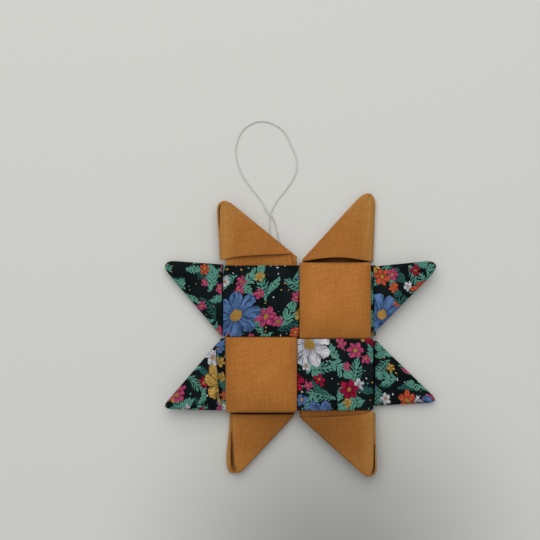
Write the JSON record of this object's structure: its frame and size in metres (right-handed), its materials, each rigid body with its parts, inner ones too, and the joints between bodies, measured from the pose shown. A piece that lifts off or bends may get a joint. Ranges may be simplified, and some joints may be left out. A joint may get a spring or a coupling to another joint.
{
  "type": "hanging star ornament",
  "caption": "Flat hanging star, woven and folded from doubled strips of mustard linen and dark floral cotton, with a loop of white thread.",
  "frame": {"origin": "under the middle of the whole star, on the surface that it lies on", "axes": "+Z out of the front of the star, +Y towards its top, where the loop is, +X to its right seen from the front"},
  "size_m": [0.0954, 0.1259, 0.0061],
  "materials": {
    "mustard_linen": "matte plain weave with slubs",
    "floral_cotton": "matte, small flowers printed on near-black",
    "white_thread": "twisted cotton thread"
  },
  "bodies": {
    "root": {"strip_left_mustard": "mustard_linen", "strip_right_mustard": "mustard_linen", "strip_upper_floral": "floral_cotton", "strip_lower_floral": "floral_cotton", "hanging_loop": "white_thread", "loop_knot": "white_thread"}
  },
  "joints": []
}
